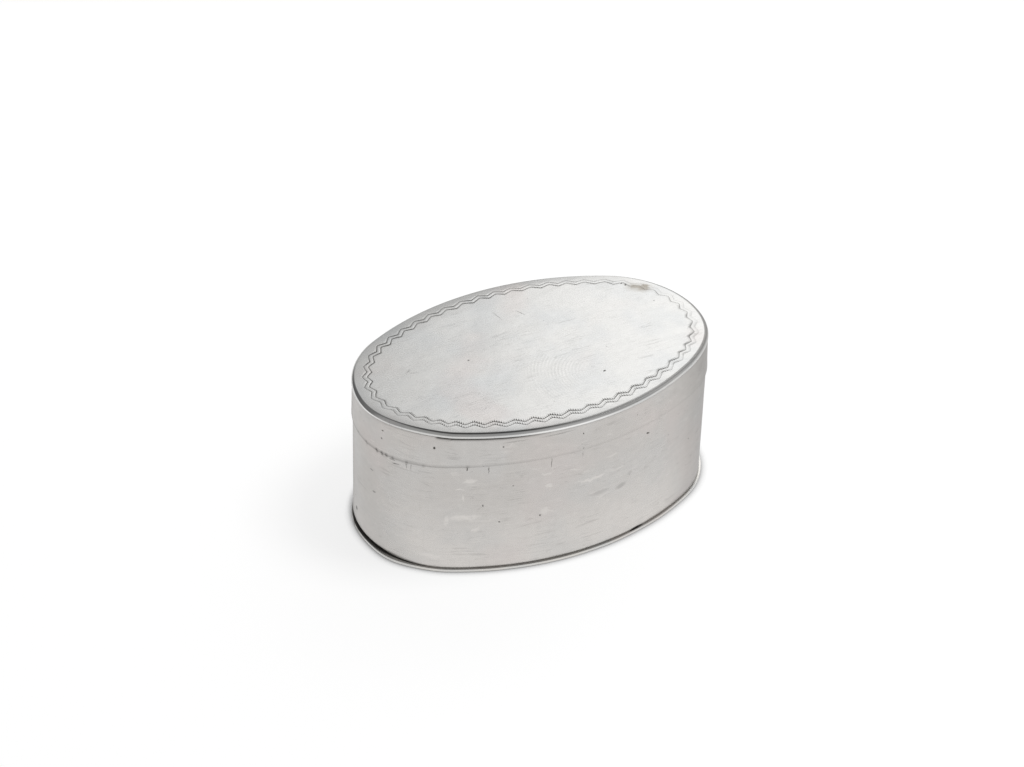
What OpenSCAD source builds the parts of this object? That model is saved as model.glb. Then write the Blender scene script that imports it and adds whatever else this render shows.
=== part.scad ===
// Oval silver nutmeg grater: hinged lid over a steel rasp, chamber for the nutmeg, hinged base.
// Millimetres. X is the long axis, the hinges are at the back (+Y), Z is up and the base rests at Z = 0.

/* [Oval] */
// Length of the wall over its two ends
body_length = 52; // [44:0.5:62]
// Width of the wall over its two long sides
body_width = 33.4; // [27:0.2:40]
// How far the radius of the ends falls short of half the width
end_step = 3; // [2:0.1:6]

/* [Wall] */
// Thickness of the sheet that the wall is bent from
wall_sheet = 0.5; // [0.4:0.05:0.7]
// Height of the wall
wall_height = 17.1; // [14:0.1:20]
// Length of the stretch at the left end where the lower edge is worn away
worn_length = 14.4; // [10:0.2:20]
// Height of that worn stretch at its middle
worn_height = 0.5; // [0.2:0.05:0.8]
// Distance of the small chip in the front lower edge from the middle
chip_place = 8.6; // [2:0.2:10]
// Length of the chip
chip_length = 2.6; // [1.6:0.2:4]
// Height of the chip
chip_height = 0.3; // [0.15:0.05:0.5]

/* [Lid] */
// Open joint between the wall and the skirt
lid_joint = 0.06; // [0.04:0.01:0.12]
// How far the skirt stands out past the wall
skirt_proud = 0.12; // [0:0.02:0.25]
// Thickness of the skirt's sheet
skirt_sheet = 0.45; // [0.35:0.05:0.5]
// Height of the skirt
skirt_height = 4.6; // [3.6:0.05:7]
// How far the top plate's edge stands out past the skirt
lid_lip = 0.06; // [0.02:0.01:0.15]
// Thickness of the top plate in its flat middle
lid_sheet = 0.55; // [0.45:0.05:0.7]
// Height of the top plate from the skirt to the flat
lid_rise = 0.85; // [0.8:0.05:1.2]
// Width of the margin that rolls down to the edge
roll_width = 2.6; // [2:0.1:3.5]
// Radius of that roll
roll_radius = 20; // [16:0.5:30]
// Radius of the rounded edge
edge_radius = 0.6; // [0.3:0.05:0.65]

/* [Mouth and rasp] */
// Thickness of the bezel's sheet
bezel_sheet = 0.4; // [0.3:0.05:0.6]
// How far the bezel reaches down inside the wall
bezel_depth = 3.5; // [2:0.25:6]
// How far the bezel stands up out of the wall
bezel_rise = 2.2; // [1.8:0.05:2.6]
// Width of the lip that is turned in over the rasp
lip_width = 0.5; // [0.3:0.05:0.8]
// Thickness of that lip
lip_sheet = 0.3; // [0.2:0.05:0.4]
// Thickness of the rasp's steel
rasp_sheet = 0.4; // [0.3:0.05:0.6]
// Clearance between the rasp and the bezel
rasp_clearance = 0.05; // [0.02:0.01:0.1]
// Width of the ledge under the rasp
seat_width = 0.7; // [0.5:0.05:1]
// Height of the ledge
seat_height = 0.8; // [0.5:0.05:1.2]
// Distance between neighbouring rasp holes
hole_pitch = 2.6; // [2.2:0.1:4]
// Radius of a rasp hole
hole_radius = 0.4; // [0.3:0.05:0.5]
// Radius of a burr where it leaves the plate
burr_radius = 0.75; // [0.65:0.05:0.95]
// Thickness of a burr's ragged lip
burr_lip = 0.1; // [0.05:0.01:0.15]
// Height of a burr
burr_height = 0.5; // [0.3:0.05:0.7]
// Plain border of the rasp inside the lip
plain_border = 1; // [0.5:0.1:2]

/* [Base] */
// Thickness of the base plate
base_sheet = 0.45; // [0.35:0.05:0.7]
// How far the base plate stands out past the wall
base_flange = 0.32; // [0.2:0.02:0.5]
// Open slit between the base plate and the wall
base_slit = 0.18; // [0.1:0.02:0.3]
// Thickness of the rim that plugs into the wall
rim_sheet = 0.45; // [0.35:0.05:0.7]
// Height of the rim
rim_height = 1.9; // [1.2:0.05:2.4]
// Clearance between the rim and the wall
rim_clearance = 0.12; // [0.08:0.01:0.25]

/* [Hinges] */
// Length of one knuckle with its share of the running gap
knuckle_length = 2.6; // [1.8:0.1:3.2]
// Running gap between neighbouring knuckles
knuckle_gap = 0.06; // [0.04:0.01:0.12]
// Outside radius of a knuckle
knuckle_radius = 0.8; // [0.7:0.05:1]
// Radius of a hinge pin
pin_radius = 0.4; // [0.3:0.02:0.48]
// Clearance between a pin and its knuckles, on the radius
pin_clearance = 0.03; // [0.02:0.01:0.06]
// How far a pin stands out of the hinge at each end
pin_end = 0.15; // [0.05:0.05:0.4]
// Clearance between the knuckles and what swings past them
swing_clearance = 0.14; // [0.1:0.02:0.4]
// Thickness of a knuckle's web at the hinge axis
web_thickness = 0.7; // [0.5:0.05:0.75]
// Clearance of the base knuckles over the surface that the box stands on
floor_clearance = 0.05; // [0.02:0.01:0.2]

/* [Hidden] */
$fn = 96;
knuckles = 5;
numbers = [for (i = [1:knuckles]) i];

silver = "#c9c8c4";
worn_silver = "#b9b7b1";
steel = "#5d6066";

// The outline is a four-centre oval: two small end arcs meet two wide side arcs without a corner.
half_length = body_length / 2;
half_width = body_width / 2;
end_radius = half_width - end_step;
end_centre = half_length - end_radius;
side_centre = (end_centre * end_centre - end_step * end_step) / (2 * end_step);
side_radius = half_width + side_centre;
meet_angle = atan2(side_centre, end_centre);
reach = 4 * body_length;
reach_x = reach * cos(meet_angle);
reach_y = reach * sin(meet_angle);

// Heights from the base upwards
wall_z = base_sheet + base_slit;
mouth_z = wall_z + wall_height;
skirt_z = mouth_z + lid_joint;
top_z = skirt_z + skirt_height;
full_height = top_z + lid_rise;
bezel_top = mouth_z + bezel_rise;
rasp_top = bezel_top - lip_sheet;
rasp_z = rasp_top - rasp_sheet;

// Places of each shell's surfaces, measured outwards from the wall's outside
bezel_out = -wall_sheet;
bezel_in = bezel_out - bezel_sheet;
rasp_out = bezel_in - rasp_clearance;
rim_out = -wall_sheet - rim_clearance;
lid_out = skirt_proud + lid_lip;

// Hinge axes, both parallel to X behind the widest thing that swings past them
hinge_y = half_width + max(base_flange, lid_out) + swing_clearance + knuckle_radius;
lid_axis_z = mouth_z;
base_axis_z = floor_clearance + knuckle_radius;
hinge_length = knuckles * knuckle_length;

// Profile of the top plate: a wide arc rolls the margin down, and a small arc rounds the edge.
roll_centre_z = lid_rise - roll_radius;
edge_centre = lid_out - edge_radius;
roll_run = roll_width + edge_centre;
edge_centre_z = roll_centre_z + sqrt(pow(roll_radius - edge_radius, 2) - roll_run * roll_run);
edge_angle = atan2(edge_centre_z - roll_centre_z, roll_run);

// Moves something by lengths with many decimals, in a coarse and a fine step
module place(move) {
    coarse = [for (step = move) round(1000 * step) / 1000];
    translate(coarse) translate(move - coarse) children();
}

// Plate turned from a section whose X = 0 lies at the given radius
module turned(radius) {
    rotate_extrude() intersection() {
        place([radius, 0, 0]) children();
        translate([0, -reach]) square(2 * reach);
    }
}

// Share of the plane between the lines on which the side arcs meet the end arcs
module side_share() {
    polygon([[end_centre, 0], [end_centre + reach_x, reach_y], [-end_centre - reach_x, reach_y],
        [-end_centre, 0], [-end_centre - reach_x, -reach_y], [end_centre + reach_x, -reach_y]]);
}

// Oval plate: where two wide discs overlap in the share of the sides, and a small disc at each end.
// The section is drawn outwards from the wall's outside.
module oval() {
    intersection() {
        place([0, -side_centre, 0]) turned(side_radius) children();
        place([0, side_centre, 0]) turned(side_radius) children();
        translate([0, 0, -full_height]) linear_extrude(3 * full_height) side_share();
    }
    for (side = [-1, 1]) place([side * end_centre, 0, 0]) turned(end_radius) children();
}

// Section of a plate that reaches to a distance from the wall's outside
module plate_section(outer, height) {
    translate([-reach, 0]) square([reach + outer, height]);
}

// Oval ring between two distances from the wall's outside
module ring(outer, inner, height) {
    difference() {
        oval() plate_section(outer, height);
        translate([0, 0, -height]) oval() plate_section(inner, 3 * height);
    }
}

// Part of a disc outside the chord between two angles that are less than 90 degrees apart
module segment(radius, from, to) {
    first = radius * [cos(from), sin(from)];
    last = radius * [cos(to), sin(to)];
    intersection() {
        circle(radius);
        polygon([first, last, 2 * last, 2 * first]);
    }
}

// Shallow hollow in a lower edge: the top of a wide cylinder along X
module hollow(length, height) {
    radius = (length * length / 4 + height * height) / (2 * height);
    translate([0, 0, height - radius]) rotate([0, 90, 0])
        cylinder(h = 2 * end_radius, r = radius, center = true, $fn = 180);
}

// Top plate: the flat middle, the margin that rolls down and the rounded edge
module lid_top() {
    skirt_in = skirt_proud - skirt_sheet;
    color(silver) translate([0, 0, top_z]) difference() {
        oval() {
            translate([-roll_width, roll_centre_z]) segment(roll_radius, edge_angle, 90);
            translate([edge_centre, edge_centre_z]) segment(edge_radius, 0, edge_angle);
            polygon([[lid_out, 0], [lid_out, edge_centre_z],
                [edge_centre + edge_radius * cos(edge_angle), edge_centre_z + edge_radius * sin(edge_angle)],
                [-roll_width, lid_rise], [-reach, lid_rise], [-reach, 0]]);
        }
        oval() polygon([[skirt_in, 0], [-roll_width, lid_rise - lid_sheet], [-reach, lid_rise - lid_sheet],
            [-reach, -lid_sheet], [skirt_in, -lid_sheet]]);
    }
}

module lid_skirt() {
    color(silver) translate([0, 0, skirt_z])
        ring(skirt_proud, skirt_proud - skirt_sheet, skirt_height);
}

module body_wall() {
    color(silver) translate([0, 0, wall_z]) difference() {
        ring(0, -wall_sheet, wall_height);
        translate([-half_length, 0, 0]) hollow(worn_length, worn_height);
        translate([chip_place, -half_width, 0]) rotate(90) hollow(chip_length, chip_height);
    }
}

module mouth_bezel() {
    color(worn_silver) difference() {
        translate([0, 0, mouth_z - bezel_depth]) oval() plate_section(bezel_out, bezel_depth + bezel_rise);
        translate([0, 0, rasp_top - full_height]) oval() plate_section(bezel_in, full_height);
        oval() plate_section(bezel_in - lip_width, full_height);
    }
}

module rasp_seat() {
    color(worn_silver) translate([0, 0, rasp_z - seat_height])
        ring(bezel_in, bezel_in - seat_width, seat_height);
}

// Rows of rasp holes in a staggered pattern, kept inside the plain border
burr_tip = hole_radius + burr_lip;
hole_field = rasp_out - lip_width - plain_border - burr_radius;
row_pitch = hole_pitch * sin(60);
row_count = floor((half_width + hole_field) / row_pitch);

function half_chord(y, grow) =
    abs(y) > (end_radius + grow) * sin(meet_angle)
        ? sqrt(max(0, pow(side_radius + grow, 2) - pow(abs(y) + side_centre, 2)))
        : end_centre + sqrt(pow(end_radius + grow, 2) - y * y);

module rasp_places() {
    for (row = [-row_count:row_count]) {
        y = row * row_pitch;
        shift = row % 2 == 0 ? 0 : hole_pitch / 2;
        last = floor((half_chord(y, hole_field) - shift) / hole_pitch);
        for (i = [-last - (shift > 0 ? 1 : 0):last]) translate([shift + i * hole_pitch, y, 0]) children();
    }
}

module rasp() {
    color(steel) translate([0, 0, rasp_z]) difference() {
        union() {
            oval() plate_section(rasp_out, rasp_sheet);
            rasp_places() translate([0, 0, rasp_sheet / 2])
                cylinder(h = rasp_sheet / 2 + burr_height, r1 = burr_radius, r2 = burr_tip, $fn = 24);
        }
        rasp_places() translate([0, 0, -rasp_sheet])
            cylinder(h = 3 * rasp_sheet + burr_height, r = hole_radius, $fn = 24);
    }
}

module base_plate() {
    color(silver) oval() plate_section(base_flange, base_sheet);
}

module base_rim() {
    color(worn_silver) translate([0, 0, base_sheet])
        ring(rim_out, rim_out - rim_sheet, rim_height);
}

// Places something at the left end of one knuckle, on the hinge line
module at_knuckle(i) {
    translate([(i - 1) * knuckle_length - hinge_length / 2 + knuckle_gap / 2, 0, 0]) children();
}

// Knuckle: a bored tube on a web that reaches in to the outside of a curved sheet
module knuckle(i, axis_z, sheet_out, web_low, web_high) {
    width = knuckle_length - knuckle_gap;
    difference() {
        union() {
            at_knuckle(i) translate([0, hinge_y, axis_z]) rotate([0, 90, 0])
                cylinder(h = width, r = knuckle_radius);
            translate([0, 0, axis_z + web_low]) linear_extrude(web_high - web_low) difference() {
                at_knuckle(i) square([width, hinge_y]);
                place([0, -side_centre, 0]) circle(side_radius + sheet_out);
            }
        }
        translate([0, hinge_y, axis_z]) rotate([0, 90, 0])
            cylinder(h = 2 * hinge_length, r = pin_radius + pin_clearance, center = true);
    }
}

// Odd knuckles of the lid's hinge are on the wall, even ones on the skirt
module lid_knuckle(i) {
    color(worn_silver)
        if (i % 2 == 1) knuckle(i, lid_axis_z, 0, -web_thickness, 0);
        else knuckle(i, lid_axis_z, skirt_proud, lid_joint, web_thickness);
}

// Odd knuckles of the base's hinge are on the wall, even ones on the edge of the base plate
module base_knuckle(i) {
    color(worn_silver)
        if (i % 2 == 1) knuckle(i, base_axis_z, 0, 0, web_thickness);
        else knuckle(i, base_axis_z, base_flange, -web_thickness, base_sheet - base_axis_z);
}

module hinge_pin(axis_z) {
    color(worn_silver) translate([0, hinge_y, axis_z]) rotate([0, 90, 0])
        cylinder(h = hinge_length + 2 * pin_end, r = pin_radius, center = true);
}

lid_top();
lid_skirt();
body_wall();
mouth_bezel();
rasp_seat();
rasp();
base_plate();
base_rim();
for (i = numbers) lid_knuckle(i);
for (i = numbers) base_knuckle(i);
hinge_pin(lid_axis_z);  // lid_hinge_pin
hinge_pin(base_axis_z);  // base_hinge_pin
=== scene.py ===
"""Dressed model of an oval silver nutmeg grater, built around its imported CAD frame.

Sizes are in millimetres and become metres when a mesh is made. X is the long axis, the hinges are at
the back (+Y) and the base rests at Z = 0. Places round the box are lengths along the wall's outline,
from the middle of the back by the left end (34), the front (69) and the right end (103).
"""

from __future__ import annotations

import logging
import math
from collections.abc import Mapping, Sequence
from dataclasses import dataclass, field, replace
from enum import Enum
from typing import Any

import bpy
import numpy as np
from mathutils import Matrix, Vector


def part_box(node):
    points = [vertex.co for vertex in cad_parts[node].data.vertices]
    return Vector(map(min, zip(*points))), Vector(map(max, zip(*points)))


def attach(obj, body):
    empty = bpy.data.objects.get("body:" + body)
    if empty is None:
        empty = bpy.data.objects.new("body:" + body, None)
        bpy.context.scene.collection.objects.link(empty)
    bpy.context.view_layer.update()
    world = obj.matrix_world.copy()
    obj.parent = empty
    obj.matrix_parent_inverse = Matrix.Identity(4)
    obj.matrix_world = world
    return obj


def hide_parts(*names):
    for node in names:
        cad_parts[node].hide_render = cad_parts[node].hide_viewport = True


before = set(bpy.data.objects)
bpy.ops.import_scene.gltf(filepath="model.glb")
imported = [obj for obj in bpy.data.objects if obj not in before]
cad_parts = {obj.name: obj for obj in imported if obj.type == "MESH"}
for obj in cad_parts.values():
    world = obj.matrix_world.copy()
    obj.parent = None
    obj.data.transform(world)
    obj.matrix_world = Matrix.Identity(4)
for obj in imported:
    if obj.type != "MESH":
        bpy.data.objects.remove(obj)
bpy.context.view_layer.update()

MM = 0.001
IMAGE_WIDTH = 1024
SHEET_UV = "sheet"
UV_UNIT = 100.0
# mesh attribute: soil, patina, dark joints and painted shade where positive; polish with a painted highlight
# where negative
WEAR_AND_LIGHT_ATTRIBUTE = "tarnish"
log = logging.getLogger("grater")

Colour = tuple[float, float, float]
Place = tuple[float, float, float]


def solid(node: str) -> tuple[np.ndarray, np.ndarray]:
    """Gives the box of a CAD node.

    Args:
        node: Name of the node.

    Returns:
        Its lowest and highest corner in millimetres.
    """
    low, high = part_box(node)
    return np.array(low) / MM, np.array(high) / MM


class Wire:
    """One output socket of a node tree, with the operators that maths on values needs."""

    def __init__(self, graph: Graph, socket: bpy.types.NodeSocket) -> None:
        """Keeps the socket and the graph that it belongs to."""
        self.graph, self.socket = graph, socket

    def math(self, operation: str, first: Any, second: Any = 0.0) -> Wire:
        """Adds one Math node.

        Args:
            operation: Name of the node's operation.
            first: Value or wire of its first input.
            second: Value or wire of its second input.

        Returns:
            The node's result.
        """
        return self.graph.node("ShaderNodeMath", {"operation": operation}, {0: first, 1: second})

    def __add__(self, other: Any) -> Wire:
        """Sum."""
        return self.math("ADD", self, other)

    def __radd__(self, other: Any) -> Wire:
        """Sum with a number on the left."""
        return self.math("ADD", other, self)

    def __sub__(self, other: Any) -> Wire:
        """Difference."""
        return self.math("SUBTRACT", self, other)

    def __rsub__(self, other: Any) -> Wire:
        """Difference with a number on the left."""
        return self.math("SUBTRACT", other, self)

    def __mul__(self, other: Any) -> Wire:
        """Product."""
        return self.math("MULTIPLY", self, other)

    def __rmul__(self, other: Any) -> Wire:
        """Product with a number on the left."""
        return self.math("MULTIPLY", other, self)

    def __abs__(self) -> Wire:
        """Size without the sign."""
        return self.math("ABSOLUTE", self)

    def at_least(self, other: Any) -> Wire:
        """Larger of this and another value."""
        return self.math("MAXIMUM", self, other)

    def at_most(self, other: Any) -> Wire:
        """Smaller of this and another value."""
        return self.math("MINIMUM", self, other)

    def rise(self, low: float, high: float) -> Wire:
        """Smooth step.

        Args:
            low: Value at which the result is 0.
            high: Value at which the result is 1; it may lie below low.

        Returns:
            A value from 0 to 1.
        """
        return self.graph.node(
            "ShaderNodeMapRange",
            {"interpolation_type": "SMOOTHSTEP", "clamp": True},
            {"Value": self, "From Min": low, "From Max": high, "To Min": 0.0, "To Max": 1.0},
        )


class Graph:
    """Node tree of a material, the world or a geometry group."""

    def __init__(self, tree: bpy.types.NodeTree) -> None:
        """Empties the tree.

        Args:
            tree: Tree to build in.
        """
        self.tree = tree
        tree.nodes.clear()

    def node(
        self,
        kind: str,
        settings: Mapping[str, Any] | None = None,
        sockets: Mapping[str | int, Any] | None = None,
        out: str | int = 0,
    ) -> Wire:
        """Adds a node.

        Args:
            kind: Blender's name of the node's type.
            settings: Properties of the node, set first; "stops" is a ramp's list of places and colours.
            sockets: Values or wires for its inputs, by name or number.
            out: Name or number of the output that is given back.

        Returns:
            The chosen output, or the node's first input where it has no output.
        """
        made = self.tree.nodes.new(kind)
        for key, value in (settings or {}).items():
            if key == "stops":
                ramp = made.color_ramp
                while len(ramp.elements) < len(value):
                    ramp.elements.new(0.5)
                for element, (place, colour) in zip(ramp.elements, value):
                    element.position, element.color = place, (*colour, 1.0)
            else:
                setattr(made, key, value)
        for key, value in (sockets or {}).items():
            if isinstance(value, Wire):
                self.tree.links.new(value.socket, made.inputs[key])
            else:
                made.inputs[key].default_value = value
        return Wire(self, (made.outputs if len(made.outputs) else made.inputs)[out])

    def mix(self, share: Any, first: Any, second: Any) -> Wire:
        """Mixes two colours.

        Args:
            share: How much of the second colour is taken, from 0 to 1.
            first: First colour or wire.
            second: Second colour or wire.

        Returns:
            The mixed colour.
        """
        sockets = {0: share, 6: first, 7: second}
        for key in (6, 7):
            if not isinstance(sockets[key], Wire):
                sockets[key] = (*sockets[key], 1.0)
        return self.node("ShaderNodeMix", {"data_type": "RGBA"}, sockets, 2)

    @classmethod
    def material(cls, name: str) -> tuple[bpy.types.Material, Graph]:
        """Makes an empty material and its graph."""
        made = bpy.data.materials.new(name)
        made.use_nodes = True
        return made, cls(made.node_tree)

    def plan(self) -> Wire:
        """Object coordinates in millimetres."""
        return self.scaled(self.node("ShaderNodeTexCoord", out="Object"), 1 / MM)

    def axis(self, vector: Wire, name: str) -> Wire:
        """One coordinate of a vector."""
        return self.node("ShaderNodeSeparateXYZ", sockets={0: vector}, out=name)

    def vector(self, operation: str, *inputs: Any, out: str = "Vector") -> Wire:
        """Adds one Vector Math node.

        Args:
            operation: Name of the node's operation.
            inputs: Values or wires for its inputs, in order.
            out: Output that is given back, "Value" for a length or a product.

        Returns:
            The chosen output.
        """
        return self.node("ShaderNodeVectorMath", {"operation": operation}, dict(enumerate(inputs)), out)

    def scaled(self, vector: Wire, scale: Any) -> Wire:
        """Vector times a number."""
        return self.node("ShaderNodeVectorMath", {"operation": "SCALE"}, {0: vector, "Scale": scale})

    def stretched(self, vector: Wire, scale: Place, turn: float = 0.0) -> Wire:
        """Turns a pattern about Z and scales it.

        Args:
            vector: Coordinates.
            scale: Factor on each axis.
            turn: Angle in degrees.

        Returns:
            The new coordinates.
        """
        sockets = {"Vector": vector, "Rotation": (0.0, 0.0, math.radians(turn)), "Scale": scale}
        return self.node("ShaderNodeMapping", {"vector_type": "POINT"}, sockets)

    def warped(self, vector: Wire, scale: float, reach: float) -> Wire:
        """Shifts coordinates unevenly, so that spots on them get ragged edges.

        Args:
            vector: Coordinates.
            scale: Number of shifts in a unit.
            reach: Largest shift.

        Returns:
            The new coordinates.
        """
        sockets = {"Vector": vector, "Scale": scale, "Detail": 3.0, "Roughness": 0.6}
        swirl = self.node("ShaderNodeTexNoise", {"noise_dimensions": "3D"}, sockets, "Color")
        shift = self.vector("SUBTRACT", swirl, (0.5, 0.5, 0.5))
        return self.vector("MULTIPLY_ADD", shift, (2 * reach,) * 3, vector)

    def noise(self, vector: Wire, scale: float, detail: float = 2.0, rough: float = 0.5) -> Wire:
        """Soft noise from 0 to 1.

        Args:
            vector: Coordinates.
            scale: Number of lumps in a unit.
            detail: Octaves of finer noise.
            rough: Strength of the finer noise.

        Returns:
            The noise value.
        """
        sockets = {"Vector": vector, "Scale": scale, "Detail": detail, "Roughness": rough}
        return self.node("ShaderNodeTexNoise", {"noise_dimensions": "3D"}, sockets)


@dataclass(frozen=True)
class Mark:
    """Spot, pit or scratch on a surface: its place, its reach along, across and up, and its turn."""

    place: Place
    reach: Place
    turn: float = 0.0
    strength: float = 1.0

    def mask(self, graph: Graph, coordinates: Wire) -> Wire:
        """Builds the mark's mask.

        Args:
            graph: Tree of the material.
            coordinates: Coordinates in millimetres, in plan or along the sheet.

        Returns:
            A value from 0 to the mark's strength.
        """
        sockets = {
            "Vector": coordinates,
            "Location": self.place,
            "Rotation": (0.0, 0.0, math.radians(self.turn)),
            "Scale": self.reach,
        }
        inside = graph.node("ShaderNodeMapping", {"vector_type": "TEXTURE"}, sockets)
        return graph.vector("LENGTH", inside, out="Value").rise(1.0, 0.35) * self.strength


class Lay(Enum):
    """What the scratches and clouds of a finish follow."""

    PLAN = "object coordinates"
    SHEET = "the sheet's own length and height"


@dataclass(frozen=True)
class Chatter:
    """Faint rings that a tool left round a centre mark, on one side of it only."""

    place: Place
    pitch: float
    inner: float
    outer: float

    def rings(self, graph: Graph, plan: Wire) -> Wire:
        """Builds the rings.

        Args:
            graph: Tree of the material.
            plan: Object coordinates in millimetres.

        Returns:
            A value from -1 to 1 that is 0 away from the rings.
        """
        off = graph.vector("SUBTRACT", plan, self.place)
        off = graph.vector("MULTIPLY", off, (1.0, 1.0, 0.0))
        length = graph.vector("LENGTH", off, out="Value")
        side = graph.axis(off, "X").rise(1.5, -2.5)
        band = length.rise(self.inner, self.inner + 1.5) * length.rise(self.outer, self.outer - 2.5)
        band = band * graph.axis(plan, "Z").rise(22.8, 23.0)
        band = band * graph.noise(plan, 0.3, 2.0).rise(0.3, 0.65)
        swing = length * (2 * math.pi / self.pitch)
        return swing.math("SINE", swing) * side * band


@dataclass(frozen=True)
class Patterns:
    """Noise patterns of a silver sheet, each a value from 0 to 1."""

    cloud: Wire
    tint: Wire
    grain: Wire
    smears: Wire
    patchy: Wire
    brush: Wire
    upright: Wire
    strokes: Wire
    lumps: Wire
    hairs: Wire
    pits: Wire


@dataclass(frozen=True)
class Silver:
    """Worn silver: a blurred polish with clouds, smears, scuffs, hairlines, patina and painted shade, and
    painted highlights where worn clean.
    """

    name: str
    lay: Lay
    colour: Colour = (0.635, 0.63, 0.615)
    warm: Colour = (0.6, 0.545, 0.525)
    cool: Colour = (0.575, 0.6, 0.615)
    # colour of places worn clean; on the lid's rim it is also a painted highlight
    bright: Colour = (0.9, 0.895, 0.885)
    # dark colour of soil and patina, also laid on as painted shade
    dirt_and_shade: Colour = (0.045, 0.04, 0.034)
    roughness: float = 0.27
    smear: float = 0.4
    mottle: float = 0.3
    brushed: float = 0.2
    hairline: float = 0.000004
    planish: float = 0.00003
    # dark share over the whole finish: soiling on the hinges and bezel, painted shade on the base rim
    grime_and_shade: float = 0.0
    # painted shade: lighter low on the sheet and darker high up, by a share between the two heights
    height_shade: tuple[float, float, float] = (0.0, 1.0, 0.0)
    marks: tuple[Mark, ...] = ()
    scuffs: tuple[Mark, ...] = ()
    stains: tuple[Mark, ...] = ()
    stain: Colour = (0.265, 0.236, 0.192)
    chatter: tuple[Chatter, ...] = ()

    def shade(self, factor: float) -> Colour:
        """The finish's colour, lighter or darker."""
        return tuple(min(1.0, factor * c) for c in self.colour)

    def material(self) -> bpy.types.Material:
        """Builds the finish.

        Returns:
            A new material.
        """
        made, graph = Graph.material(self.name)
        plan = graph.plan()
        lay = plan
        if self.lay is Lay.SHEET:
            lay = graph.scaled(graph.node("ShaderNodeUVMap", {"uv_map": SHEET_UV}), UV_UNIT)
        uneven = graph.warped(lay, 0.8, 0.7)
        ragged = graph.warped(lay, 2.6, 0.14)
        sheet = self.patterns(graph, lay, uneven)

        # The attribute: soil, patina, dark joints and painted shade where positive; polish with a painted
        # highlight where negative.
        wear_and_light = graph.node("ShaderNodeAttribute", {"attribute_name": WEAR_AND_LIGHT_ATTRIBUTE}, out="Fac")
        rubbed_and_highlight = (0.0 - wear_and_light).at_least(0.0)
        dirt_and_shade = wear_and_light.at_least(0.0) + self.grime_and_shade
        for mark in self.marks:
            dirt_and_shade = dirt_and_shade.at_least(mark.mask(graph, ragged))
        dirt_and_shade = (dirt_and_shade + sheet.pits * 0.5 + sheet.hairs * 0.1).at_most(1.0)
        light = sheet.smears.rise(0.56, 0.68) * sheet.patchy * 0.6
        for scuff in self.scuffs:
            light = light.at_least(scuff.mask(graph, uneven) * sheet.smears.rise(0.25, 0.5) * 1.8)

        colour = self.tones(graph, sheet, graph.axis(plan, "Z"), light)
        polish = self.roughness + light * 0.1 + (sheet.grain - 0.5) * 0.7 * self.mottle
        polish = polish + (sheet.brush - 0.5) * 0.5 * self.brushed
        relief = (1.0 - sheet.hairs) + sheet.strokes * 0.5 + sheet.lumps * 0.8 - sheet.pits * 2.0 - dirt_and_shade * 0.8
        for chatter in self.chatter:
            rings = chatter.rings(graph, plan)
            colour = graph.mix(rings.at_least(0.0) * 0.22, colour, self.shade(0.75))
            relief = relief + rings * 1.3
        for stain in self.stains:
            colour = graph.mix(stain.mask(graph, uneven), colour, self.stain)
        # painted highlight: places worn clean take the bright colour, partly cleaner silver
        colour = graph.mix(rubbed_and_highlight.rise(0.5, 1.0) * 0.75, colour, self.bright)
        # soil, patina and painted shade darken the colour
        colour = graph.mix(dirt_and_shade, colour, self.dirt_and_shade)

        waves = graph.noise(lay, 0.3, 2.0, 0.4)
        shape = graph.node(
            "ShaderNodeBump", sockets={"Strength": 1.0, "Distance": self.planish, "Height": waves}
        )
        shape = graph.node(
            "ShaderNodeBump",
            sockets={"Strength": 1.0, "Distance": self.hairline, "Height": relief, "Normal": shape},
        )
        surface = graph.node(
            "ShaderNodeBsdfPrincipled",
            sockets={
                "Base Color": colour,
                "Metallic": (1.0 - dirt_and_shade * 0.5),
                "Roughness": (polish - rubbed_and_highlight.rise(0.0, 0.5) * 0.15 + dirt_and_shade * 0.25).at_most(0.8),
                "Normal": shape,
            },
        )
        graph.node("ShaderNodeOutputMaterial", sockets={"Surface": surface})
        return made

    def patterns(self, graph: Graph, lay: Wire, uneven: Wire) -> Patterns:
        """Builds the noise patterns.

        Args:
            graph: Tree of the material.
            lay: Coordinates along the sheet in millimetres.
            uneven: The same coordinates, shifted unevenly.

        Returns:
            The patterns.
        """
        along = graph.stretched(lay, (0.12, 2.6, 2.6), 2.0)
        return Patterns(
            cloud=graph.noise(lay, 0.13, 3.0),
            tint=graph.noise(graph.stretched(lay, (1.0, 1.0, 1.0), 40.0), 0.085, 2.0),
            grain=graph.noise(graph.stretched(lay, (0.7, 1.0, 1.0), 8.0), 1.1, 6.0, 0.68),
            smears=graph.noise(graph.stretched(uneven, (0.3, 1.5, 1.5), 3.0), 0.75, 4.0, 0.6),
            patchy=graph.noise(lay, 0.2, 2.0).rise(0.42, 0.62),
            brush=graph.noise(along, 1.5, 3.0, 0.6),
            upright=graph.noise(graph.stretched(lay, (2.2, 0.16, 2.2), -6.0), 1.0, 3.0, 0.6),
            strokes=graph.noise(along, 1.5, 0.5),
            lumps=graph.noise(lay, 1.1, 1.0),
            hairs=self.hairs(graph, lay),
            pits=graph.noise(lay, 1.9, 1.0).rise(0.79, 0.82),
        )

    def tones(self, graph: Graph, sheet: Patterns, height: Wire, light: Wire) -> Wire:
        """Mixes the colour of the clean sheet.

        Args:
            graph: Tree of the material.
            sheet: Noise patterns.
            height: Height above the ground in millimetres.
            light: Share of pale smears.

        Returns:
            The colour with its clouds, grain, brush strokes, smears and painted shade by height.
        """
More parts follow.
